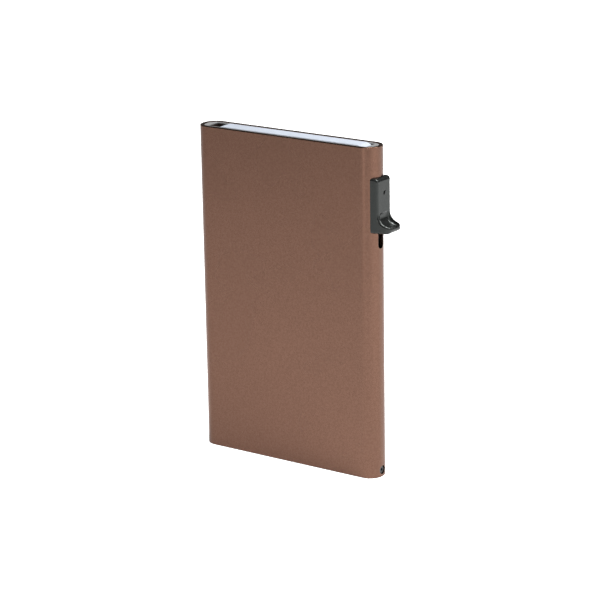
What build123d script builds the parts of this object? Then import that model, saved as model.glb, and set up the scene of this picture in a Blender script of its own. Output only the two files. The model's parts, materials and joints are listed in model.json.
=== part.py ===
"""Slim metal card case with a thumb slider on its side that fans out a stack of cards.

Pressing the slider down drives a bar inside the right edge, the bar turns a stepped kicker in the
base, and each step lifts its own card by its own amount.

Frame: origin at the middle of the base face, +X towards the thumb slider, +Y towards the back,
+Z up. All sizes are in millimetres.
"""

import os
from math import atan, cos, degrees, sin, tan

from build123d import *

# ---- cards (the usual bank card format, stored upright) ----
card_width = 53.98
card_height = 85.6
card_thick = 0.76
card_corner = 3.18
card_count = 6
card_gap = 0.04  # air between neighbouring cards
card_side_gap = 0.2  # air between the cards and the right wall of the pocket

# ---- pocket and case ----
pocket_play_width = 2.62  # pocket width beyond one card
pocket_play_thick = 0.2  # pocket thickness beyond the whole stack
pocket_corner = 0.4
lip_thick = 0.9  # plastic between the pocket and the front or back wall
wall = 1.0
side_flat = 0.6  # flat strip left between the two corner rounds of each side
side_space = 2.2  # room between the pocket and the side wall, for the rail and the drive bar
rim_round = 0.22
slide_fit = 0.05  # gap round the pieces pushed into the case

# ---- mouth frame ----
frame_height = 6.0
frame_sink = 0.12  # top of the frame below the rim
frame_bevel = 0.3

# ---- base cap and its screws ----
floor_thick = 2.0
lug_height = 1.1  # lugs above the floor
lug_length = 5.4
lug_gap = 0.15  # gap between a lug and the cradle round it
screw_height = 2.1
screw_radius = 0.8
screw_fit = 0.02
screw_length = 3.0
head_radius = 1.15
head_thick = 0.7
head_sink = 0.4  # head below the side of the case
head_gap = 0.2
socket_radius = 0.5
socket_depth = 0.45

# ---- slider motion ----
travel = 7.5
first_rise = 4.5  # rise of the front card at full travel
rise_step = 2.7  # how much more each card behind it rises

# ---- ejector: cradle, kicker and pin ----
crank_length = 10.2
pin_radius = 1.0
pin_fit = 0.05  # running gap between the pin and the kicker
pin_seat = 0.02  # gap between the pin and the cradle
hub_radius = 2.8
kicker_play = 0.1  # gap between the kicker's fingers and the cards
finger_thick = 0.7
finger_tip = 2.6
ledge_length = 10.5
bridge_length = 4.0
bridge_clear = 0.4  # from the crank up to the bridge
bridge_gap = 2.6  # from the pivot to the bridge

# ---- drive bar and its stud ----
stud_radius = 0.75
stud_fit = 0.12
stud_inset = 2.3  # from the inside of the side wall to the stud
tongue_half = 0.95  # half the thickness of the crank
fork_wall = 0.65
fork_reach = 1.4  # crank beyond the stud's middle position
foot_gap = 0.1
foot_thick = 0.55
foot_round = 1.3
foot_low_gap = 0.65  # from the foot down to the base cap's lug, slider pressed
foot_high_gap = 0.55  # from the foot up to the card ledges, slider at rest
foot_clear = 3.0  # from the stud up to the solid part of the bar
bar_thick = 1.05
bar_wall_gap = 0.5  # gap between the bar and the side wall
rail_gap = 0.15
bar_above_stem = 2.3

# ---- thumb slider ----
slot_width = 2.6
slot_end_gap = 0.1
stem_gap = 0.2  # gap at each side of the stem in the slot
stem_length = 5.8
mortise_fit = 0.02
seat_gap = 0.15  # gap between the slider and the side of the case
pad_half_width = 3.5
pad_proud = 1.2  # outer face of the pad beyond the side
pad_above_stem = 7.8
pad_below_rim = 9.0  # top of the pad below the rim
pad_below_stem = 2.8
pad_reach_in = 3.0  # how far the pad reaches round the side
pad_top_round = 1.0
pad_edge_round = 0.65
ledge_proud = 5.0  # tip of the thumb ledge beyond the side
ledge_lift = 0.65  # how much the underside climbs to the tip
scoop_top = 5.95  # where the scoop leaves the pad, above its bottom
scoop_drop = 2.83
scoop_width = 2.0
nose_round = 1.08
tip_corner = 1.5  # rounding of the ledge's tip seen from above
dish_radius = 3.1  # hollow for the thumb between the scoop's two rims
dish_out = 2.8  # its middle beyond the pad's face
dish_low = 0.95  # its middle below the top of the scoop
dish_half_width = 2.75
dish_round = 1.1
mark_width = 1.7  # recessed triangle that points the way to press
mark_depth = 0.25
mark_above_stem = 3.4

# ---- brake pads ----
brake_width = 8.0
brake_spacing = 32.0
brake_low = 12.0  # above the card ledges
brake_below_frame = 9.48
brake_gap = 0.05

# ---- sizes that follow ----
card_pitch = card_thick + card_gap
stack_thick = card_count * card_pitch
pocket_width = card_width + pocket_play_width
pocket_thick = stack_thick + pocket_play_thick
inner_width = pocket_width + 2 * side_space
inner_thick = pocket_thick + 2 * lip_thick
case_width = inner_width + 2 * wall
case_thick = inner_thick + 2 * wall
case_corner = (case_thick - side_flat) / 2
side_x = case_width / 2
lug_top = floor_thick + lug_height
pivot_height = lug_top + foot_low_gap + foot_round + travel / 2
stud_height = pivot_height + travel / 2
base_height = stud_height + foot_round + foot_high_gap  # of the ledges that the cards stand on
case_height = base_height + card_height
frame_bottom = case_height - frame_sink - frame_height
card_x = pocket_width / 2 - card_side_gap - card_width / 2
stud_x = inner_width / 2 - stud_inset
pivot_x = stud_x - crank_length
half_swing = atan(travel / 2 / crank_length)
swing = 2 * half_swing
fork_half = stud_radius + stud_fit + fork_wall
bar_right = inner_width / 2 - bar_wall_gap
bar_left = bar_right - bar_thick
bar_half = tongue_half + foot_gap + foot_thick
rail_web_face = bar_left - rail_gap
bar_room = bar_half + rail_gap
stem_half = slot_width / 2 - stem_gap
stem_top = case_height - pad_below_rim - pad_above_stem
stem_bottom = stem_top - stem_length
slot_bottom = stem_bottom - travel - slot_end_gap
slot_top = stem_top + slot_end_gap
hole_radius = head_radius + head_gap


def block(x0, x1, y0, y1, z0, z1):
    """A box given by its faces."""
    middle = Pos((x0 + x1) / 2, (y0 + y1) / 2, (z0 + z1) / 2)
    return middle * Box(x1 - x0, y1 - y0, z1 - z0)


def rod_x(radius, x0, x1, z):
    """A cylinder along X in the mid plane."""
    return Pos((x0 + x1) / 2, 0, z) * Rot(0, 90, 0) * Cylinder(radius, x1 - x0)


def rod_y(radius, half_length, x, z):
    """A cylinder along Y, centred on the mid plane."""
    return Pos(x, 0, z) * Rot(90, 0, 0) * Cylinder(radius, 2 * half_length)


def slab(face, y0, y1):
    """A face drawn in X and Z, given its thickness from y0 to y1."""
    return extrude(Plane.XZ.offset(-y1) * face, y1 - y0)


def case_section(grow=0.0):
    """The case's outer cross-section, larger or smaller all round."""
    return RectangleRounded(case_width + 2 * grow, case_thick + 2 * grow, case_corner + grow)


def filling(gap, z0, z1):
    """What would fill the inside of the case from z0 to z1, less a gap all round."""
    return Pos(0, 0, z0) * extrude(case_section(-wall - gap), z1 - z0)


def card_y(index):
    """Mid plane of a card: 0 is the front one."""
    return (index - (card_count - 1) / 2) * card_pitch


def card_rise(index):
    """How far a card rises at full travel."""
    return first_rise + index * rise_step


def make_case_shell():
    """Extruded tube with rounded sides, the slider's slot and the two screw holes."""
    outside = extrude(case_section(), case_height)
    ends = outside.faces().filter_by(Axis.Z)
    outside = fillet(ends.edges(), rim_round)
    inside = Pos(0, 0, -1) * extrude(case_section(-wall), case_height + 2)
    shell = outside - inside
    slot = SlotOverall(slot_top - slot_bottom, slot_width, rotation=90)
    slot_middle = (slot_top + slot_bottom) / 2
    shell -= extrude(Plane.YZ.offset(side_x - 2 * wall) * Pos(0, slot_middle) * slot, 3 * wall)
    shell -= rod_x(hole_radius, side_x - 2 * wall, side_x + wall, screw_height)
    return shell - rod_x(hole_radius, -side_x - wall, -side_x + 2 * wall, screw_height)


def make_mouth_frame():
    """Ring that lines the mouth and stops the rails from coming out."""
    top = case_height - frame_sink
    ring = filling(slide_fit, frame_bottom, top)
    ring = chamfer(ring.faces().sort_by(Axis.Z)[-1].edges(), frame_bevel)
    opening = RectangleRounded(pocket_width, pocket_thick, pocket_corner)
    ring -= Pos(0, 0, frame_bottom - 1) * extrude(opening, frame_height + 2)
    inner_edges = [
        e for e in ring.faces().sort_by(Axis.Z)[-1].inner_wires()[0].edges()
    ]
    return fillet(inner_edges, frame_bevel / 2)


def make_base_cap():
    """Plug that closes the bottom, with a lug at each end for a side screw."""
    cap = filling(slide_fit, 0, floor_thick)
    cap = chamfer(cap.faces().sort_by(Axis.Z)[0].edges(), rim_round)
    lugs = filling(slide_fit, floor_thick / 2, lug_top)
    half = pocket_thick / 2 - lug_gap
    lug_start = inner_width / 2 - lug_length
    keep = block(-side_x, -lug_start, -half, half, 0, lug_top)
    keep += block(lug_start, side_x, -half, half, 0, lug_top)
    cap += lugs & keep
    seat = side_x - head_sink - head_thick
    deep = seat - screw_length - screw_fit
    for sign in (-1, 1):
        near, far = sorted((sign * deep, sign * side_x))
        cap -= rod_x(screw_radius + screw_fit, near, far, screw_height)
        near, far = sorted((sign * seat, sign * side_x))
        cap -= rod_x(hole_radius, near, far, screw_height)
    return cap


def make_side_screw(sign):
    """Small socket screw that holds the base cap, its head inside the hole in the side."""
    seat = side_x - head_sink - head_thick
    near, far = sorted((sign * (seat - screw_length), sign * seat))
    screw = rod_x(screw_radius, near, far, screw_height)
    near, far = sorted((sign * seat, sign * (seat + head_thick)))
    screw += rod_x(head_radius, near, far, screw_height)
    rim = screw.faces().sort_by(Axis.X)[0 if sign < 0 else -1].edges()
    screw = chamfer(rim, head_thick / 5)
    socket = extrude(RegularPolygon(socket_radius, 6), socket_depth + 1)
    bottom = sign * (seat + head_thick - socket_depth)
    return screw - Pos(bottom, 0, screw_height) * Rot(0, 90 * sign, 0) * socket


def make_ejector_cradle():
    """Two cheeks that carry the pivot pin, joined by the left ledge and the right bridge."""
    body = filling(slide_fit, floor_thick, base_height)
    half = pocket_thick / 2
    left_end = -inner_width / 2 + ledge_length
    straight = case_width / 2 - case_corner
    open_top = base_height + 1
    body -= block(left_end, straight, -half, half, 0, open_top)
    body -= block(straight, side_x, -bar_room, bar_room, 0, open_top)
    bridge_start = pivot_x + bridge_gap
    bridge_end = bridge_start + bridge_length
    crank_top = (bridge_end - pivot_x) * tan(half_swing) + fork_half / cos(half_swing)
    bridge_under = pivot_height + crank_top + bridge_clear
    body += block(bridge_start, bridge_end, -half, half, bridge_under, base_height)
    lug_start = inner_width / 2 - lug_length - lug_gap
    for near, far in ((-side_x, -lug_start), (lug_start, side_x)):
        body -= block(near, far, -half, half, 0, lug_top + lug_gap)
    return body - rod_y(pin_radius + pin_seat, side_x, pivot_x, pivot_height)


def cam_point(base, lift, angle):
    """Point of a cam whose flat follower rises by `base` per radian, seen from the pivot."""
    reach = lift + base * angle
    return (-base * cos(angle) - reach * sin(angle), -base * sin(angle) + reach * cos(angle))


def finger_face(index):
    """Side view of the finger that lifts one card, drawn about the pivot, at rest."""
    base = card_rise(index) / swing
    lift = base_height - pivot_height - kicker_play
    steps = 8
    top = [cam_point(base, lift, swing * i / steps) for i in range(steps + 1)]
    end = top[-1]
    along = (-cos(swing), -sin(swing))
    inward = (sin(swing), -cos(swing))
    half = finger_tip / 2
    nose = (
        end[0] + half * (inward[0] + along[0]),
        end[1] + half * (inward[1] + along[1]),
    )
    under = (end[0] + finger_tip * inward[0], end[1] + finger_tip * inward[1])
    outline = [
        Spline(*top),
        ThreePointArc(end, nose, under),
        Polyline(under, (0, -hub_radius), (0, hub_radius), top[0]),
    ]
    return make_face(outline)


def make_kicker():
    """Stepped finger stack on a hub, with a forked crank that the drive bar turns."""
    half = stack_thick / 2
    body = rod_y(hub_radius, half, pivot_x, pivot_height)
    pivot = Pos(pivot_x, pivot_height)
    for index in range(card_count):
        low = card_y(index) - finger_thick / 2
        high = low + (card_pitch if index < card_count - 1 else finger_thick)
        body += slab(pivot * finger_face(index), low, high)
    slot_half = stud_radius + stud_fit
    reach = crank_length + fork_reach
    crank = Pos(reach / 2, 0) * Rectangle(reach, 2 * fork_half)
    slot_start = crank_length - stud_fit
    crank -= Pos(slot_start, 0) * Circle(slot_half)
    crank -= Pos(slot_start + reach / 2, 0) * Rectangle(reach, 2 * slot_half)
    body += slab(pivot * Rot(0, 0, degrees(half_swing)) * crank, -tongue_half, tongue_half)
    return body - rod_y(pin_radius + pin_fit, side_x, pivot_x, pivot_height)


def make_kicker_pin():
    """Steel pin across the cradle's two cheeks."""
    return rod_y(pin_radius, inner_thick / 2 - slide_fit, pivot_x, pivot_height)


def make_drive_bar():
    """Strip in the right rail, with a mortise for the slider's stem and a foot for the stud."""
    solid_bottom = stud_height + foot_clear
    bar = block(bar_left, bar_right, -bar_half, bar_half, solid_bottom, stem_top + bar_above_stem)
    inner = tongue_half + foot_gap
    for y0, y1 in ((-bar_half, -inner), (inner, bar_half)):
        bar += block(bar_left, bar_right, y0, y1, stud_height, solid_bottom)
        cheek = slab(
            Pos(stud_x, stud_height) * Circle(foot_round)
            + Pos((stud_x + bar_right) / 2, stud_height)
            * Rectangle(bar_right - stud_x, 2 * foot_round),
            y0,
            y1,
        )
        bar += cheek
    bar -= rod_y(stud_radius + pin_seat, bar_half + 1, stud_x, stud_height)
    return bar - stem_solid(bar_left - 1, bar_right + 1, mortise_fit)


def make_drive_stud():
    """Steel stud through the bar's foot, which works in the crank's fork."""
    return rod_y(stud_radius, bar_half, stud_x, stud_height)


def stem_solid(x0, x1, grow=0.0):
    """The stem that passes through the slot, larger all round by `grow`."""
    face = SlotOverall(stem_length + 2 * grow, 2 * (stem_half + grow), rotation=90)
    middle = (stem_top + stem_bottom) / 2
    return extrude(Plane.YZ.offset(x0) * Pos(0, middle) * face, x1 - x0)


def thumb_dish(scoop_start):
    """Barrel, lying across the ledge, that hollows the scoop."""
    barrel = Cylinder(dish_radius, 2 * dish_half_width)
    barrel = fillet(barrel.edges().filter_by(GeomType.CIRCLE), dish_round)
    return Pos(scoop_start[0] + dish_out, 0, scoop_start[1] - dish_low) * Rot(90, 0, 0) * barrel


def make_thumb_slider():
    """Pad that hugs the rounded side, with a scooped ledge for the thumb and a stem."""
    low = stem_bottom - pad_below_stem
    high = stem_top + pad_above_stem
    face_x = side_x + pad_proud
    tip_x = side_x + ledge_proud
    inside_x = side_x - pad_reach_in
    scoop_start = (face_x, low + scoop_top)
    shoulder = (face_x + scoop_width, low + scoop_top - scoop_drop)
    slope = 2 * atan(scoop_width / scoop_drop)  # the ledge's tilt from upright at the shoulder
    nose_top = shoulder[1] - (tip_x - shoulder[0]) * cos(slope) / sin(slope)
    side_view = make_face(
        [
            TangentArc(scoop_start, shoulder, tangent=(0, -1)),
            Polyline(shoulder, (tip_x, nose_top), (tip_x, low + ledge_lift), (inside_x, low)),
            Polyline((inside_x, low), (inside_x, high), (face_x, high), scoop_start),
        ]
    )
    side_view = fillet(side_view.vertices().group_by(Axis.X)[-1], nose_round)
    top_corner = side_view.vertices().group_by(Axis.Y)[-1].sort_by(Axis.X)[-1]
    side_view = fillet(top_corner, pad_top_round)
    body = slab(side_view, -pad_half_width, pad_half_width)
    from_above = block(inside_x, tip_x, -pad_half_width, pad_half_width, low - 1, high + 1)
    tip_edges = from_above.edges().filter_by(Axis.Z).group_by(Axis.X)[-1]
    body &= fillet(tip_edges, tip_corner)
    sides = body.faces().sort_by(Axis.Y)
    body = fillet(sides[0].edges() + sides[-1].edges(), pad_edge_round)
    body -= thumb_dish(scoop_start)
    body -= Pos(0, 0, low - 1) * extrude(case_section(seat_gap), high - low + 2)
    arrow = Rot(0, 0, 180) * Triangle(a=mark_width, b=mark_width, c=mark_width)
    mark_plane = Plane.YZ.offset(face_x - mark_depth)
    body -= extrude(mark_plane * Pos(0, stem_top + mark_above_stem) * arrow, 1)
    return body + stem_solid(bar_left + mortise_fit, side_x + pad_proud / 2)


def make_rail(sign):
    """Channel that fills one rounded side above the cradle. The right one guides the bar."""
    rail = filling(slide_fit, base_height, frame_bottom)
    near, far = sorted((sign * pocket_width / 2, sign * side_x))
    rail &= block(near, far, -side_x, side_x, 0, case_height)
    near, far = sorted((sign * rail_web_face, sign * side_x))
    return rail - block(near, far, -bar_room, bar_room, 0, case_height)


def make_brake_pad(x_sign, y_sign):
    """Felt strip on the inside of the front or back wall that rubs on the outer card."""
    outer = inner_thick / 2
    inner = pocket_thick / 2 + brake_gap
    near, far = sorted((y_sign * inner, y_sign * outer))
    x = x_sign * brake_spacing / 2
    low = base_height + brake_low
    high = frame_bottom - brake_below_frame
    return block(x - brake_width / 2, x + brake_width / 2, near, far, low, high)


def make_card(index):
    """One plain card, standing on the ledges."""
    face = RectangleRounded(card_width, card_height, card_corner)
    y = card_y(index)
    middle = Pos(card_x, base_height + card_height / 2)
    return slab(middle * face, y - card_thick / 2, y + card_thick / 2)


def write(name, shape):
    """Writes one sub-part and says how large it is."""
    export_step(shape, f"parts/{name}.step")
    print(name, round(shape.volume, 1))


os.makedirs("parts", exist_ok=True)
write("case_shell", make_case_shell())
write("mouth_frame", make_mouth_frame())
write("base_cap", make_base_cap())
write("side_screws", Compound([make_side_screw(-1), make_side_screw(1)]))
write("ejector_cradle", make_ejector_cradle())
write("kicker", make_kicker())
write("kicker_pin", make_kicker_pin())
write("drive_bar", make_drive_bar())
write("drive_stud", make_drive_stud())
write("thumb_slider", make_thumb_slider())
write("right_rail", make_rail(1))
write("left_rail", make_rail(-1))
for y_name, y_sign in (("front", -1), ("back", 1)):
    for x_name, x_sign in (("left", -1), ("right", 1)):
        write(f"brake_pad_{y_name}_{x_name}", make_brake_pad(x_sign, y_sign))
for card in range(card_count):
    write(f"card_{card + 1}", make_card(card))
print("case", round(case_width, 3), round(case_thick, 3), round(case_height, 3))
print("swing in degrees", round(degrees(swing), 4), "pivot x", round(pivot_x, 4))
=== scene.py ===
# %% [markdown]
# # A slim metal card case, made ready to look at
# The design model already holds every rigid piece at its real size and place. This lesson gives
# those pieces their finishes, remakes the soft and the laminated ones, and sets up a small studio.
# It starts by loading the frame, and keeps the box of the design's case.

# %% Load the frame
import json
from math import cos, radians, sin

import bmesh
import bpy
from mathutils import Matrix, Vector


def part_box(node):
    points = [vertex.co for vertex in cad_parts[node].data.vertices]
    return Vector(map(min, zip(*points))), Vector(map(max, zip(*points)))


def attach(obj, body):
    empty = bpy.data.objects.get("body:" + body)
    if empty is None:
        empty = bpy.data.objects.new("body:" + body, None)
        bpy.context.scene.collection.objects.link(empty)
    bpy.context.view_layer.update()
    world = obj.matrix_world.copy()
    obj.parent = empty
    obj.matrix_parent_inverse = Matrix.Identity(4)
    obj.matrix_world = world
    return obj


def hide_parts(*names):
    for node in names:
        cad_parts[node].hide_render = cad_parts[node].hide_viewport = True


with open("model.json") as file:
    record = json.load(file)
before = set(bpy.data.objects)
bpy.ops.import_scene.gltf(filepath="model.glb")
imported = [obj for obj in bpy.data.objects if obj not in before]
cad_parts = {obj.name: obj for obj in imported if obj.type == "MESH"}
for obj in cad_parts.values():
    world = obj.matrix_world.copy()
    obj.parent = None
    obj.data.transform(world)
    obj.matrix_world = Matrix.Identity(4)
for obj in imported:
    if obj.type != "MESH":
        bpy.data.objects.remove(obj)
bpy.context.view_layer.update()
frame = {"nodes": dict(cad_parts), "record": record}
nodes = frame["nodes"]
shell_low, shell_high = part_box("case_shell")
case_centre = (shell_low + shell_high) / 2
case_size = tuple(round(v, 4) for v in shell_high - shell_low)
print("loaded", len(nodes), "nodes, the case is", case_size, "m")

# %% [markdown]
# ## From a bmesh to a piece
# Blender works in metres, and this object is talked about in millimetres, so one name does that.
# Every new piece is built as a bmesh, which is a mesh that can be cut, bevelled and extruded in
# code, and then becomes an object that sits at the origin like the design's own pieces. Faces
# that meet at less than the smooth angle are shaded as one round surface.

# %% Units and the finishing of a new piece
MM = 0.001
SMOOTH_ANGLE = radians(40)


def finish_piece(name, bm, material, body, replaced):
    """Turns a bmesh into an object that rides on a body and stands for a design node."""
    bmesh.ops.recalc_face_normals(bm, faces=bm.faces)
    mesh = bpy.data.meshes.new(name)
    bm.to_mesh(mesh)
    bm.free()
    mesh.shade_smooth()
    mesh.set_sharp_from_angle(angle=SMOOTH_ANGLE)
    mesh.materials.append(material)
    piece = bpy.data.objects.new(name, mesh)
    bpy.context.scene.collection.objects.link(piece)
    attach(piece, body)
    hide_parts(replaced)
    return piece


print("the case is", round((shell_high.z - shell_low.z) / MM, 1), "mm high")

# %% [markdown]
# ## Building materials from nodes
# A material is a graph. Writing each link by hand is long, so a tiny helper adds a node with its
# settings. It fills each input with either a plain value or another node's output, so the two
# look the same to whoever reads the recipe.

# %% Adding nodes
def fill(tree, socket, value):
    """Links an output to the socket, or sets a plain value on it."""
    if isinstance(value, bpy.types.NodeSocket):
        tree.links.new(value, socket)
    else:
        socket.default_value = value


def add_node(tree, kind, settings=None, **inputs):
    """Adds a node, sets its options, and fills its inputs by name."""
    node = tree.nodes.new(kind)
    for key, value in (settings or {}).items():
        setattr(node, key, value)
    for key, value in inputs.items():
        fill(tree, node.inputs[key], value)
    return node


def math_node(tree, operation, *values):
    """One step of arithmetic on up to three values."""
    node = add_node(tree, "ShaderNodeMath", {"operation": operation})
    for socket, value in zip(node.inputs, values):
        fill(tree, socket, value)
    return node.outputs[0]


print("node helpers:", fill.__name__, add_node.__name__, math_node.__name__)

# %% [markdown]
# ## Node groups
# An effect that several finishes share is built once, as a node group with its own named inputs,
# and is then placed in each material with other values. A change to the group reaches them all.

# %% Making and placing a group
def new_group(name, inputs, outputs):
    """A shader node group. An input with the value None takes a vector, the others a number."""
    tree = bpy.data.node_groups.new(name, "ShaderNodeTree")
    for label, value in inputs.items():
        kind = "NodeSocketVector" if value is None else "NodeSocketFloat"
        socket = tree.interface.new_socket(label, in_out="INPUT", socket_type=kind)
        if value is not None:
            socket.default_value = value
    for label in outputs:
        tree.interface.new_socket(label, in_out="OUTPUT", socket_type="NodeSocketFloat")
    start = tree.nodes.new("NodeGroupInput")
    end = tree.nodes.new("NodeGroupOutput")
    return tree, start, end


def use_group(tree, group, inputs):
    """Places a node group in a material and fills its inputs."""
    node = tree.nodes.new("ShaderNodeGroup")
    node.node_tree = group
    for key, value in inputs.items():
        fill(tree, node.inputs[key], value)
    return node


print("group helpers:", new_group.__name__, use_group.__name__)

# %% [markdown]
# ## The steps that most recipes repeat
# A finish is mostly made of four moves: a colour that runs between two tones, a range of numbers
# stretched onto another, one colour laid over another, and a height turned into relief. Each
# gets a short name. The patterns read the object's own coordinates, so they stay on the piece.

# %% Tones, ranges, layers and relief
def new_material(name):
    """An empty material with a Principled shader, and the object's own coordinates."""
    material = bpy.data.materials.new(name)
    material.use_nodes = True
    tree = material.node_tree
    shader = tree.nodes["Principled BSDF"]
    place = tree.nodes.new("ShaderNodeTexCoord").outputs["Object"]
    return material, tree, shader, place


def two_tone(tree, mask, dark, light):
    """A colour that runs from one tone to another as a mask goes from 0 to 1."""
    ramp = add_node(tree, "ShaderNodeValToRGB", None, Fac=mask)
    ramp.color_ramp.elements[0].color = (*dark, 1)
    ramp.color_ramp.elements[1].color = (*light, 1)
    return ramp.outputs["Color"]


def stretch(tree, value, source=(0.0, 1.0), target=(0.0, 1.0)):
    """Maps one range of numbers onto another and keeps the result inside it."""
    mapped = add_node(tree, "ShaderNodeMapRange", None, Value=value)
    mapped.inputs["From Min"].default_value = source[0]
    mapped.inputs["From Max"].default_value = source[1]
    mapped.inputs["To Min"].default_value = target[0]
    mapped.inputs["To Max"].default_value = target[1]
    return mapped.outputs["Result"]


def layer(tree, mask, under, over):
    """Lays a plain colour over another one where the mask is 1."""
    rgb = {"data_type": "RGBA"}
    mixed = add_node(tree, "ShaderNodeMix", rgb, Factor=mask, A=under, B=(*over, 1))
    return mixed.outputs["Result"]


def relief(tree, height, depth, **under):
    """Turns a height into a normal, on top of another relief if one is given as Normal."""
    bump = add_node(tree, "ShaderNodeBump", None, Height=height, Distance=depth, **under)
    bump.inputs["Strength"].default_value = 1.0
    return bump.outputs["Normal"]


print("recipe steps:", two_tone.__name__, stretch.__name__, layer.__name__, relief.__name__)

# %% [markdown]
# ## Grain
# Grain is the fine relief of a blasted or moulded surface: a small noise for the single pits,
# with a wider one for how unevenly they lie. One noise alone looks too regular close up, and a
# real displacement would need millions of faces, so two noises and a bump are enough.

# %% The grain group
PIT_DETAIL = 2.0
PIT_ROUGHNESS = 0.6
PATCH_SCALE = 0.23  # patches are about four pits wide
PATCH_DETAIL = 1.0
PATCH_SHARE = 0.35  # how much the patches raise or lower the pits


def build_grain():
    tree, start, end = new_group("grain", {"Vector": None, "Size mm": 0.2}, ["Height", "Patches"])
    place = start.outputs["Vector"]
    scale = math_node(tree, "DIVIDE", 1 / MM, start.outputs["Size mm"])
    pits = add_node(tree, "ShaderNodeTexNoise", None, Vector=place, Scale=scale)
    pits.inputs["Detail"].default_value = PIT_DETAIL
    pits.inputs["Roughness"].default_value = PIT_ROUGHNESS
    wide_scale = math_node(tree, "MULTIPLY", scale, PATCH_SCALE)
    wide = add_node(tree, "ShaderNodeTexNoise", None, Vector=place, Scale=wide_scale)
    wide.inputs["Detail"].default_value = PATCH_DETAIL
    patches = wide.outputs["Fac"]
    height = math_node(tree, "MULTIPLY_ADD", patches, PATCH_SHARE, pits.outputs["Fac"])
    tree.links.new(height, end.inputs["Height"])
    tree.links.new(patches, end.inputs["Patches"])
    return tree


grain = build_grain()
print("group", grain.name, "has", len(grain.nodes), "nodes")

# %% [markdown]
# ## Handling
# Touching a satin surface leaves a faint, large, cloudy change of gloss. It is a wide noise with
# a little distortion, whose middle values are stretched so that the clouds are clear.

# %% The handling group
CLOUD_DETAIL = 3.0
CLOUD_DISTORTION = 0.4
CLOUD_RANGE = (0.3, 0.7)


def build_handling():
    tree, start, end = new_group("handling", {"Vector": None, "Size mm": 18.0}, ["Mask"])
    place = start.outputs["Vector"]
    scale = math_node(tree, "DIVIDE", 1 / MM, start.outputs["Size mm"])
    cloud = add_node(tree, "ShaderNodeTexNoise", None, Vector=place, Scale=scale)
    cloud.inputs["Detail"].default_value = CLOUD_DETAIL
    cloud.inputs["Distortion"].default_value = CLOUD_DISTORTION
    mask = stretch(tree, cloud.outputs["Fac"], CLOUD_RANGE)
    tree.links.new(mask, end.inputs["Mask"])
    return tree


handling = build_handling()
print("group", handling.name, "has", len(handling.nodes), "nodes")

# %% [markdown]
# ## Soft edge
# Edges are where a finish wears first. The mask compares the rounded normal of a Bevel node with
# the plain one: where they differ, an edge is near. It works on any mesh, while painting a mask
# by hand would have to be done again after each change of the design.

# %% The soft edge group
EDGE_SAMPLES = 6
EDGE_RANGE = (1.0, 0.85)  # of the two normals' dot product


def build_soft_edge():
    tree, start, end = new_group("soft_edge", {"Radius mm": 0.2}, ["Mask"])
    radius = math_node(tree, "MULTIPLY", start.outputs["Radius mm"], MM)
    rounded = add_node(tree, "ShaderNodeBevel", {"samples": EDGE_SAMPLES}, Radius=radius)
    plain = tree.nodes.new("ShaderNodeNewGeometry").outputs["Normal"]
    dot = add_node(tree, "ShaderNodeVectorMath", {"operation": "DOT_PRODUCT"})
    tree.links.new(rounded.outputs[0], dot.inputs[0])
    tree.links.new(plain, dot.inputs[1])
    mask = stretch(tree, dot.outputs["Value"], EDGE_RANGE)
    tree.links.new(mask, end.inputs["Mask"])
    return tree


soft_edge = build_soft_edge()
print("group", soft_edge.name, "has", len(soft_edge.nodes), "nodes")

# %% [markdown]
# ## Anodised aluminium
# The case is a pressed tube, blasted with fine beads and then dyed brown in the anodising bath.
# The dye sits in a thin clear oxide, so the metal keeps its metallic look but loses its mirror.
# Fine pits scatter the light, and each pit is a touch lighter or darker than its neighbour. Where
# the metal turns sharply the layer is thinner and the edge looks paler.

# %% The case's finish
BEAD_PIT = 0.14  # mm
BEAD_DEPTH = 0.010 * MM
FINGER_PATCH = 26.0  # mm
BROWN = ((0.146, 0.078, 0.055), (0.176, 0.096, 0.069))
PALE_BROWN = (0.36, 0.24, 0.19)
PALE_EDGE = 0.25  # mm
PALE_SHARE = 0.55
SPECKLE_RANGE = (0.42, 0.92)
PATCH_WEIGHT = 0.9
MOTTLE_RANGE = (0.55, 1.35)
CASE_ROUGHNESS = (0.24, 0.29)


def anodised_metal():
    material, tree, shader, place = new_material("anodised_brown")
    pits = use_group(tree, grain, {"Vector": place, "Size mm": BEAD_PIT})
    touched = use_group(tree, handling, {"Vector": place, "Size mm": FINGER_PATCH})
    edge = use_group(tree, soft_edge, {"Radius mm": PALE_EDGE})
    speckle = stretch(tree, pits.outputs["Height"], SPECKLE_RANGE)
    mottle = math_node(tree, "MULTIPLY_ADD", pits.outputs["Patches"], PATCH_WEIGHT, speckle)
    dyed = two_tone(tree, stretch(tree, mottle, MOTTLE_RANGE), *BROWN)
    thin = math_node(tree, "MULTIPLY", edge.outputs["Mask"], PALE_SHARE)
    tree.links.new(layer(tree, thin, dyed, PALE_BROWN), shader.inputs["Base Color"])
    gloss = stretch(tree, touched.outputs["Mask"], target=CASE_ROUGHNESS)
    tree.links.new(gloss, shader.inputs["Roughness"])
    tree.links.new(relief(tree, pits.outputs["Height"], BEAD_DEPTH), shader.inputs["Normal"])
    shader.inputs["Metallic"].default_value = 1.0
    return material


finishes = {"anodised_shell": anodised_metal()}
print("the case is", finishes["anodised_shell"].name)

# %% [markdown]
# ## The thumb slider's coat
# The thumb slider is cast metal under a dark grey satin coat, so it keeps small sharp highlights
# on its rounded edges. A plain plastic would lose them and a full metal would turn black between
# them, so the coat is three quarters metallic.

# %% The slider's finish
COAT_PIT = 0.16  # mm
COAT_DEPTH = 0.004 * MM
THUMB_PATCH = 5.0  # mm
COAT_GREY = ((0.029, 0.032, 0.031), (0.037, 0.040, 0.038))
RUBBED_GREY = (0.085, 0.089, 0.087)
RUBBED_EDGE = 0.2  # mm
RUBBED_SHARE = 0.35
COAT_ROUGHNESS = (0.20, 0.26)
COAT_METALLIC = 0.75


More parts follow.
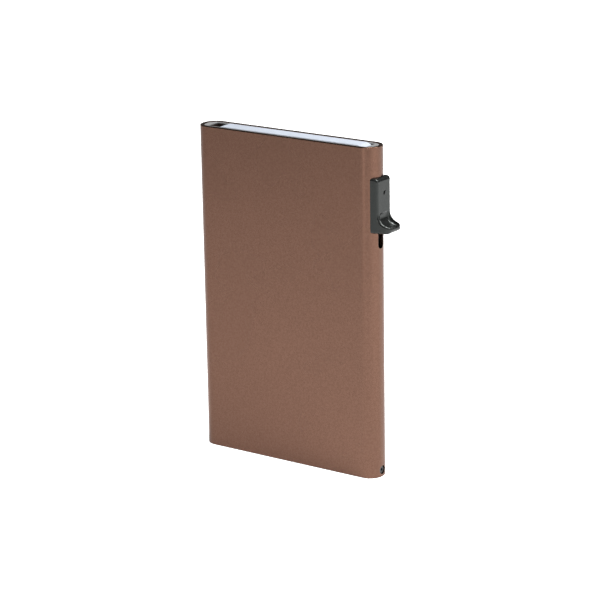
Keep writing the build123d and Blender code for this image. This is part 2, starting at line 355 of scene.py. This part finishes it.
def slider_coat():
    material, tree, shader, place = new_material("gunmetal_coat")
    pits = use_group(tree, grain, {"Vector": place, "Size mm": COAT_PIT})
    touched = use_group(tree, handling, {"Vector": place, "Size mm": THUMB_PATCH})
    edge = use_group(tree, soft_edge, {"Radius mm": RUBBED_EDGE})
    coat = two_tone(tree, touched.outputs["Mask"], *COAT_GREY)
    rubbed = math_node(tree, "MULTIPLY", edge.outputs["Mask"], RUBBED_SHARE)
    tree.links.new(layer(tree, rubbed, coat, RUBBED_GREY), shader.inputs["Base Color"])
    gloss = stretch(tree, touched.outputs["Mask"], target=COAT_ROUGHNESS)
    tree.links.new(gloss, shader.inputs["Roughness"])
    tree.links.new(relief(tree, pits.outputs["Height"], COAT_DEPTH), shader.inputs["Normal"])
    shader.inputs["Metallic"].default_value = COAT_METALLIC
    return material


finishes["slider_grey"] = slider_coat()
print("the slider is", finishes["slider_grey"].name)

# %% [markdown]
# ## Moulded plastics
# The frame in the mouth, the carriers inside and the kicker are moulded, with the faint grain of
# a spark-eroded tool and slightly paler rubbed edges. The frame is light grey on top, and inside
# the mouth painted shade darkens it a little way down. A plain shadow is too weak there, because
# the white cards throw light back, so the shade is painted into the tone, which fades with height.

# %% How a plastic is built
MOULD_DEPTH = 0.02 * MM
MOULD_EDGE = 0.12  # mm
MOULD_EDGE_SHARE = 0.3
EDGE_GAIN = 1.6
EDGE_LIFT = 0.02
MOULD_SPREAD = 0.05
# painted shade: below a height the frame's tone fades to this brown, in place of the shadow inside
# the mouth
SHADE_FADE = 0.15 * MM
SHADE_BROWN = (0.022, 0.014, 0.012)


def paint_shade_below_height(tree, place, tone, shade_below):
    """Paints shade: lets a tone go dark below a height, as if in shadow."""
    height = add_node(tree, "ShaderNodeSeparateXYZ", None, Vector=place).outputs["Z"]
    # painted shade mask: 1 low in the mouth, where the tone is darkened as if in shadow
    deep = stretch(tree, height, (shade_below, shade_below - SHADE_FADE))
    return layer(tree, deep, tone, SHADE_BROWN)


def moulded_plastic(name, dark, light, roughness, pit_mm, shade_below=None):
    material, tree, shader, place = new_material(name)
    pits = use_group(tree, grain, {"Vector": place, "Size mm": pit_mm})
    edge = use_group(tree, soft_edge, {"Radius mm": MOULD_EDGE})
    tone = two_tone(tree, pits.outputs["Patches"], dark, light)
    if shade_below is not None:
        tone = paint_shade_below_height(tree, place, tone, shade_below)
    rubbed = math_node(tree, "MULTIPLY", edge.outputs["Mask"], MOULD_EDGE_SHARE)
    paler = [min(1.0, EDGE_GAIN * v + EDGE_LIFT) for v in light]
    tree.links.new(layer(tree, rubbed, tone, paler), shader.inputs["Base Color"])
    around = (roughness - MOULD_SPREAD, roughness + MOULD_SPREAD)
    gloss = stretch(tree, pits.outputs["Patches"], target=around)
    tree.links.new(gloss, shader.inputs["Roughness"])
    tree.links.new(relief(tree, pits.outputs["Height"], MOULD_DEPTH), shader.inputs["Normal"])
    return material


print("a rubbed edge is", MOULD_EDGE, "mm wide")

# %% [markdown]
# ## Three plastics
# The mouth's frame is the only one that is seen from outside. The carriers are almost black, so
# the pocket looks deep, and the kicker is a dark engineering plastic that slides well.

# %% The plastics' finishes
SHADE_START = 0.3 * MM  # below the frame's top

frame_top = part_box("mouth_frame")[1].z
# the grey frame carries painted shade from SHADE_START below its top down into the mouth
finishes["grey_plastic"] = moulded_plastic(
    "grey_frame", dark=(0.20, 0.20, 0.20), light=(0.24, 0.24, 0.24),
    roughness=0.36, pit_mm=0.25, shade_below=frame_top - SHADE_START)
finishes["dark_plastic"] = moulded_plastic(
    "dark_inner", dark=(0.008, 0.008, 0.008), light=(0.012, 0.012, 0.012),
    roughness=0.6, pit_mm=0.3)
finishes["kicker_plastic"] = moulded_plastic(
    "kicker_acetal", dark=(0.07, 0.07, 0.075), light=(0.09, 0.09, 0.095),
    roughness=0.4, pit_mm=0.2)
print("the frame's top is", round(frame_top / MM, 2), "mm up")

# %% [markdown]
# ## Laminated cards
# The cards are white film over a white core: smooth, slightly glossy, with the film's edge
# showing as a thin line on the cut side. Each card's mesh carries an attribute that runs from
# -0.5 to 0.5 through its thickness, so the line follows the card wherever it moves.

# %% The cards' finish
FILM_DEPTH = 0.39  # where the film meets the core, as a share of the thickness
FILM_LINE = 0.02
FILM_SHARE = 0.6
FILM_WHITE = (0.50, 0.54, 0.60)
CARD_WHITE = ((0.46, 0.50, 0.57), (0.49, 0.53, 0.60))
CARD_PATCH = 9.0  # mm
CARD_ROUGHNESS = (0.30, 0.38)
CARD_COAT = 0.15


def card_laminate():
    material, tree, shader, place = new_material("card_laminate")
    depth = add_node(tree, "ShaderNodeAttribute", {"attribute_name": "depth"}).outputs["Fac"]
    from_middle = math_node(tree, "ABSOLUTE", depth)
    line = math_node(tree, "COMPARE", from_middle, FILM_DEPTH, FILM_LINE)
    patches = use_group(tree, handling, {"Vector": place, "Size mm": CARD_PATCH})
    white = two_tone(tree, patches.outputs["Mask"], *CARD_WHITE)
    film = math_node(tree, "MULTIPLY", line, FILM_SHARE)
    tree.links.new(layer(tree, film, white, FILM_WHITE), shader.inputs["Base Color"])
    gloss = stretch(tree, patches.outputs["Mask"], target=CARD_ROUGHNESS)
    tree.links.new(gloss, shader.inputs["Roughness"])
    shader.inputs["Coat Weight"].default_value = CARD_COAT
    return material


finishes["card_white"] = card_laminate()
print("the cards are", finishes["card_white"].name)

# %% [markdown]
# ## Drawn steel
# The two pins are drawn steel, with fine lines along their length. The screws and the drive bar
# are the same steel, blackened, so nothing bright shows through the slider's slot. The lines are
# the shared grain, pulled long by scaling its coordinates down in one direction.

# %% The steels' finishes
DRAWN_LINE = 0.12  # mm
DRAWN_STRETCH = (1.0, 1.0, 0.04)
DRAWN_DEPTH = 0.006 * MM
DRAWN_SPREAD = 0.06


def drawn_steel(name, dark, light, roughness):
    material, tree, shader, place = new_material(name)
    pulled = add_node(tree, "ShaderNodeMapping", None, Vector=place, Scale=DRAWN_STRETCH)
    lines = use_group(tree, grain, {"Vector": pulled.outputs["Vector"], "Size mm": DRAWN_LINE})
    tone = two_tone(tree, lines.outputs["Height"], dark, light)
    tree.links.new(tone, shader.inputs["Base Color"])
    around = (roughness - DRAWN_SPREAD, roughness + DRAWN_SPREAD)
    gloss = stretch(tree, lines.outputs["Patches"], target=around)
    tree.links.new(gloss, shader.inputs["Roughness"])
    tree.links.new(relief(tree, lines.outputs["Height"], DRAWN_DEPTH), shader.inputs["Normal"])
    shader.inputs["Metallic"].default_value = 1.0
    return material


finishes["steel"] = drawn_steel(
    "drawn_steel", dark=(0.42, 0.42, 0.43), light=(0.60, 0.60, 0.61), roughness=0.28)
finishes["black_steel"] = drawn_steel(
    "blackened_steel", dark=(0.045, 0.045, 0.047), light=(0.09, 0.09, 0.092), roughness=0.36)
print("two steels:", finishes["steel"].name, finishes["black_steel"].name)

# %% [markdown]
# ## Wool felt
# The brake pads are short dense felt: fine fibres on small tufts, and a soft sheen at grazing
# angles where loose fibres catch the light. Two sizes of the shared grain, one relief on top of
# the other, imitate that well.

# %% The felt's finish
FIBRE = 0.22  # mm
FIBRE_DEPTH = 0.05 * MM
TUFT = 0.9  # mm
TUFT_DEPTH = 0.08 * MM
FELT_BLACK = ((0.020, 0.020, 0.023), (0.075, 0.075, 0.082))
FELT_ROUGHNESS = 0.95
FELT_SHEEN = 0.4


def wool_felt():
    material, tree, shader, place = new_material("wool_felt")
    fibres = use_group(tree, grain, {"Vector": place, "Size mm": FIBRE})
    tufts = use_group(tree, grain, {"Vector": place, "Size mm": TUFT})
    tone = two_tone(tree, fibres.outputs["Height"], *FELT_BLACK)
    tree.links.new(tone, shader.inputs["Base Color"])
    tufted = relief(tree, tufts.outputs["Height"], TUFT_DEPTH)
    furry = relief(tree, fibres.outputs["Height"], FIBRE_DEPTH, Normal=tufted)
    tree.links.new(furry, shader.inputs["Normal"])
    shader.inputs["Roughness"].default_value = FELT_ROUGHNESS
    shader.inputs["Sheen Weight"].default_value = FELT_SHEEN
    return material


finishes["felt"] = wool_felt()
print("made", len(finishes), "finishes")

# %% [markdown]
# ## Dressing the design's own pieces
# Each rigid piece of the design keeps its mesh. Only its material slot is filled with the finish
# that the record names for it.

# %% Give every carried-over node its finish
slot_of = {part["node"]: part["material_slot"] for part in frame["record"]["subparts"]}
for name, piece in nodes.items():
    piece.data.materials.clear()
    piece.data.materials.append(finishes[slot_of[name]])
print("dressed", len(nodes), "design nodes")

# %% [markdown]
# ## A box to start from
# The cards and the felt strips are cut from flat sheets, so both start as a cube that is scaled
# and moved to the box of the design's own piece. Rounding an edge is a bevel with a few segments.

# %% A stretched cube and a rounded edge
def box_bmesh(low, high):
    """A cube stretched to a box."""
    bm = bmesh.new()
    bmesh.ops.create_cube(bm, size=1.0)
    bmesh.ops.scale(bm, vec=high - low, verts=bm.verts)
    bmesh.ops.translate(bm, vec=(low + high) / 2, verts=bm.verts)
    return bm


def round_edges(bm, edges, radius, segments):
    """Rounds the edges with a bevel."""
    bmesh.ops.bevel(bm, geom=edges, offset=radius, offset_type="OFFSET", segments=segments,
                    profile=0.5, affect="EDGES", material=-1)


print("shape helpers:", box_bmesh.__name__, round_edges.__name__)

# %% [markdown]
# ## The cards
# A blank card is a flat plate with four round corners, die-cut from a laminated sheet. The four
# edges across the thickness are bevelled to the corner radius, then the two outlines get a tiny
# bevel, because a cut edge is never perfectly sharp. Each vertex remembers how deep in the
# thickness it lies, for the laminate's lines.

# %% Six laminated cards
CARD_CORNER = 3.18 * MM
CARD_CORNER_SEGMENTS = 10
CARD_EDGE = 0.05 * MM
CARD_EDGE_SEGMENTS = 2
FLAT = 0.9  # a face whose normal has more than this along Y is the front or the back


def along_y(edge):
    """Whether an edge runs through the card's thickness."""
    start, end = (v.co for v in edge.verts)
    return abs(start.y - end.y) > abs(start.x - end.x) + abs(start.z - end.z)


def card_piece(node):
    """A laminated card in the place of the design's plain one."""
    low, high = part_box(node)
    bm = box_bmesh(low, high)
    corners = [edge for edge in bm.edges if along_y(edge)]
    round_edges(bm, corners, CARD_CORNER, CARD_CORNER_SEGMENTS)
    faces = [face for face in bm.faces if abs(face.normal.y) > FLAT]
    outline = list({edge for face in faces for edge in face.edges})
    round_edges(bm, outline, CARD_EDGE, CARD_EDGE_SEGMENTS)
    depth = bm.verts.layers.float.new("depth")
    middle = (low.y + high.y) / 2
    for vert in bm.verts:
        vert[depth] = (vert.co.y - middle) / (high.y - low.y)
    return finish_piece(f"{node}_laminate", bm, finishes["card_white"], node, node)


cards = [card_piece(name) for name in sorted(nodes) if name.startswith("card_")]
print("cards:", [card.name for card in cards])

# %% [markdown]
# ## Making felt
# Felt is cut from a sheet, so a strip's edges are square but furry. The box is cut into a fine
# grid, and each vertex then moves in by a small smooth wave, which leaves the fluffy uneven
# outline of felt. Waves made of sines give the same felt every time, which random moves would
# not do without a seed.

# %% Cutting a grid and making it fluffy
FELT_GRID = 0.9 * MM
FELT_FLUFF = 0.035 * MM
LONG_X, LONG_Z = 2.1, 1.3  # how fast each wave turns, in radians per millimetre
CROSS_X, CROSS_Z = 2.6, 1.7
SHORT_X, SHORT_Z = 3.1, 4.3
SHORT_SHARE = 0.6
WAVE_PEAK = 1 + SHORT_SHARE


def cut_grid(bm, low, high, axis):
    """Cuts the mesh into even slices across one axis."""
    normal = Vector((0, 0, 0))
    normal[axis] = 1
    cuts = int((high[axis] - low[axis]) / FELT_GRID)
    for cut in range(1, cuts):
        place = low.copy()
        place[axis] += (high[axis] - low[axis]) * cut / cuts
        everything = bm.verts[:] + bm.edges[:] + bm.faces[:]
        bmesh.ops.bisect_plane(bm, geom=everything, plane_co=place, plane_no=normal)


def fluff(bm):
    """Moves each vertex in by a smooth wave over the strip."""
    bm.normal_update()
    for vert in bm.verts:
        x, y, z = vert.co / MM
        wave = sin(LONG_X * x + LONG_Z * z + y) * sin(CROSS_Z * z - CROSS_X * x)
        wave += SHORT_SHARE * sin(SHORT_Z * z + SHORT_X * x)
        vert.co -= vert.normal * FELT_FLUFF * (1 + wave / WAVE_PEAK) / 2


print("felt is uneven by up to", round(FELT_FLUFF / MM, 3), "mm")

# %% [markdown]
# ## The felt brake pads
# Four strips of felt inside the walls rub on the outer cards and hold them at any height. Each
# takes the box of the design's own pad and rides on the case that it is glued to.

# %% Four felt strips
FELT_EDGE = 0.12 * MM
FELT_EDGE_SEGMENTS = 2
ACROSS_X, ACROSS_Z = 0, 2


def felt_piece(node):
    """A felt strip in the place of the design's plain one."""
    low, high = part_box(node)
    bm = box_bmesh(low, high)
    round_edges(bm, list(bm.edges), FELT_EDGE, FELT_EDGE_SEGMENTS)
    cut_grid(bm, low, high, ACROSS_X)
    cut_grid(bm, low, high, ACROSS_Z)
    fluff(bm)
    made = finish_piece(f"{node}_felt", bm, finishes["felt"], "case", node)
    return made


pads = [felt_piece(name) for name in sorted(nodes) if name.startswith("brake_pad")]
print("felt strips:", len(pads), "with", len(pads[0].data.polygons), "faces each")

# %% [markdown]
# ## The floor
# The floor is one large sheet of pale paper. On a real set the paper is lit until it burns out
# to white, but that much light would also wash out the metal. So the sheet has a glow that only
# the camera sees, and the metal reflects the plain paper.

# %% A pale paper floor
FLOOR_HALF = 4.0
FLOOR_CELLS = 8
FLOOR_GAP = 0.05 * MM
PAPER_GRAIN = 1.2  # mm
PAPER_WHITE = ((0.95, 0.95, 0.95), (0.97, 0.97, 0.97))
PAPER_ROUGHNESS = 0.9
PAPER_SPECULAR = 0.1
PAPER_GLOW = 0.8


def pale_paper():
    material, tree, shader, place = new_material("pale_paper")
    paper = use_group(tree, grain, {"Vector": place, "Size mm": PAPER_GRAIN})
    tone = two_tone(tree, paper.outputs["Patches"], *PAPER_WHITE)
    tree.links.new(tone, shader.inputs["Base Color"])
    shader.inputs["Roughness"].default_value = PAPER_ROUGHNESS
    shader.inputs["Specular IOR Level"].default_value = PAPER_SPECULAR
    shader.inputs["Emission Color"].default_value = (1, 1, 1, 1)
    seen = tree.nodes.new("ShaderNodeLightPath").outputs["Is Camera Ray"]
    glow = math_node(tree, "MULTIPLY", seen, PAPER_GLOW)
    tree.links.new(glow, shader.inputs["Emission Strength"])
    return material


def pale_floor():
    bm = bmesh.new()
    bmesh.ops.create_grid(bm, x_segments=FLOOR_CELLS, y_segments=FLOOR_CELLS, size=FLOOR_HALF)
    bmesh.ops.translate(bm, vec=(0, 0, shell_low.z - FLOOR_GAP), verts=bm.verts)
    mesh = bpy.data.meshes.new("floor")
    bm.to_mesh(mesh)
    bm.free()
    mesh.materials.append(pale_paper())
    floor = bpy.data.objects.new("floor", mesh)
    bpy.context.scene.collection.objects.link(floor)
    return floor


paper_floor = pale_floor()
print("the floor has", len(paper_floor.data.polygons), "faces and is", 2 * FLOOR_HALF, "m wide")

# %% [markdown]
# ## The lights
# A small strip stands in front, a wide softbox on the right, one more behind the right shoulder,
# and a panel hangs overhead. A faint overcast world fills the deepest shadows. On a blasted metal
# each light becomes a broad soft band, and those bands are what shows the rounding. Small lamps
# would leave hard white spots instead. The camera doesn't see the softboxes themselves.

# %% Softboxes round the case
OVERCAST = 0.10


def soft_light(name, azimuth, elevation, distance, width, height, power):
    """A rectangular softbox round the case. Azimuth 0 is in front of it, 90 is on its right."""
    turn, lift = radians(azimuth), radians(elevation)
    away = Vector((sin(turn) * cos(lift), -cos(turn) * cos(lift), sin(lift)))
    light = bpy.data.lights.new(name, "AREA")
    light.shape = "RECTANGLE"
    light.size = width
    light.size_y = height
    light.energy = power
    box = bpy.data.objects.new(name, light)
    facing = away.to_track_quat("Z", "Y").to_matrix().to_4x4()
    box.matrix_world = Matrix.Translation(case_centre + away * distance) @ facing
    box.visible_camera = False
    bpy.context.scene.collection.objects.link(box)
    return box


def overcast_world(strength):
    """A plain white sky of one strength."""
    world = bpy.data.worlds.new("overcast")
    world.use_nodes = True
    sky = world.node_tree.nodes["Background"]
    sky.inputs["Color"].default_value = (1, 1, 1, 1)
    sky.inputs["Strength"].default_value = strength
    bpy.context.scene.world = world


overcast_world(OVERCAST)
lights = [
    soft_light("strip_front", azimuth=2, elevation=1, distance=0.9,
               width=0.08, height=0.12, power=0.45),
    soft_light("softbox_right", azimuth=86, elevation=14, distance=0.9,
               width=0.75, height=0.75, power=1.9),
    soft_light("softbox_back_right", azimuth=120, elevation=45, distance=1.0,
               width=0.4, height=0.4, power=5.7),
    soft_light("overhead", azimuth=60, elevation=75, distance=1.0,
               width=0.5, height=0.5, power=14.5),
]
bpy.context.scene.view_settings.view_transform = "Standard"
print("lights:", [light.name for light in lights])

# %% [markdown]
# ## The camera
# A long lens from a little above gives the calm, nearly parallel view of a product picture. The
# camera looks at the middle of the case, with a small shift of its aim and a slight roll.

# %% Place the camera
CAMERA_AZIMUTH = radians(35.21)
CAMERA_ELEVATION = radians(16.36)
CAMERA_ROLL = radians(-0.975)
CAMERA_DISTANCE = 728.9 * MM
AIM_RIGHT = 2.167 * MM
AIM_UP = -0.50 * MM
LENS = 147.16
SENSOR = 36.0
CLIP_START = 10 * MM

forward = Vector((
    -sin(CAMERA_AZIMUTH) * cos(CAMERA_ELEVATION),
    cos(CAMERA_AZIMUTH) * cos(CAMERA_ELEVATION),
    -sin(CAMERA_ELEVATION),
))
level = Vector((cos(CAMERA_AZIMUTH), sin(CAMERA_AZIMUTH), 0))
right = level * cos(CAMERA_ROLL) + level.cross(forward) * sin(CAMERA_ROLL)
up = right.cross(forward)
eye = case_centre + right * AIM_RIGHT + up * AIM_UP - forward * CAMERA_DISTANCE
camera_data = bpy.data.cameras.new("camera")
camera_data.lens = LENS
camera_data.sensor_width = SENSOR
camera_data.clip_start = CLIP_START
camera = bpy.data.objects.new("camera", camera_data)
camera.matrix_world = Matrix((
    (right.x, up.x, -forward.x, eye.x),
    (right.y, up.y, -forward.y, eye.y),
    (right.z, up.z, -forward.z, eye.z),
    (0, 0, 0, 1),
))
bpy.context.scene.collection.objects.link(camera)
bpy.context.scene.camera = camera
print("camera at", tuple(round(v / MM, 2) for v in eye), "mm")

# %% [markdown]
# ## Finishing
# The last step prints how many of the design's pieces were remade.

# %% Finish
print("remade", len(cards) + len(pads), "pieces of", len(nodes))
